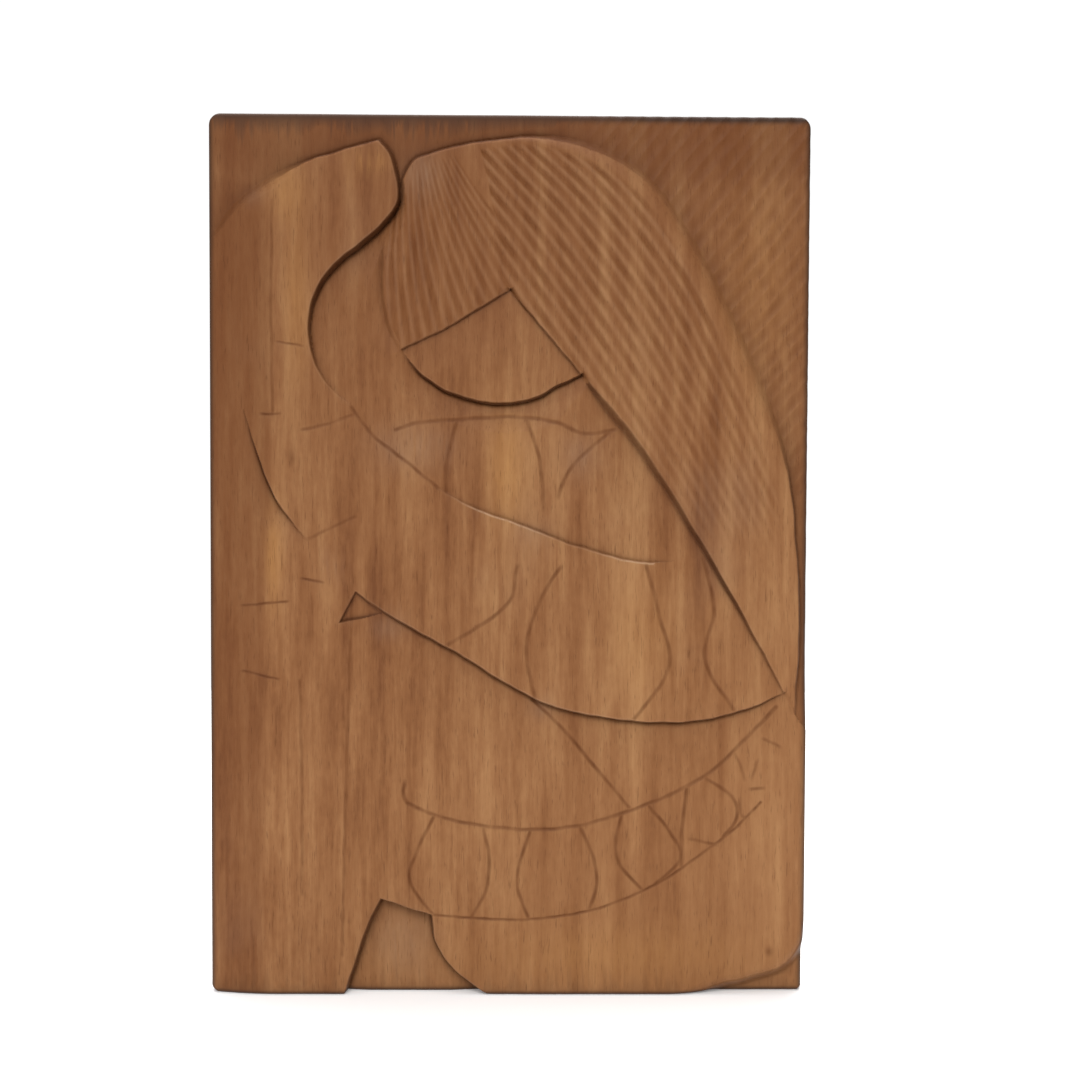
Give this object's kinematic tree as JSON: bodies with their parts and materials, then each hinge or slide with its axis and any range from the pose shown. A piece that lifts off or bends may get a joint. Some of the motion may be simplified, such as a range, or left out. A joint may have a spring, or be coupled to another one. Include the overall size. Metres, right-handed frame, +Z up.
{
  "type": "carved wall panel",
  "caption": "Upright hardwood panel carved in low relief with a stylised seated figure with long combed hair; flat back, made to hang on a wall.",
  "frame": {"origin": "centre of the flat back face, where the panel meets the wall", "axes": "+Z up along the panel's height, +X to the right as seen from the front, -Y out of the carved front, +Y into the wall"},
  "size_m": [0.36, 0.032, 0.53],
  "materials": {
    "carved_wood": "oiled, satin, dark in the cuts"
  },
  "bodies": {
    "root": {"carved_panel": "carved_wood"}
  },
  "joints": []
}
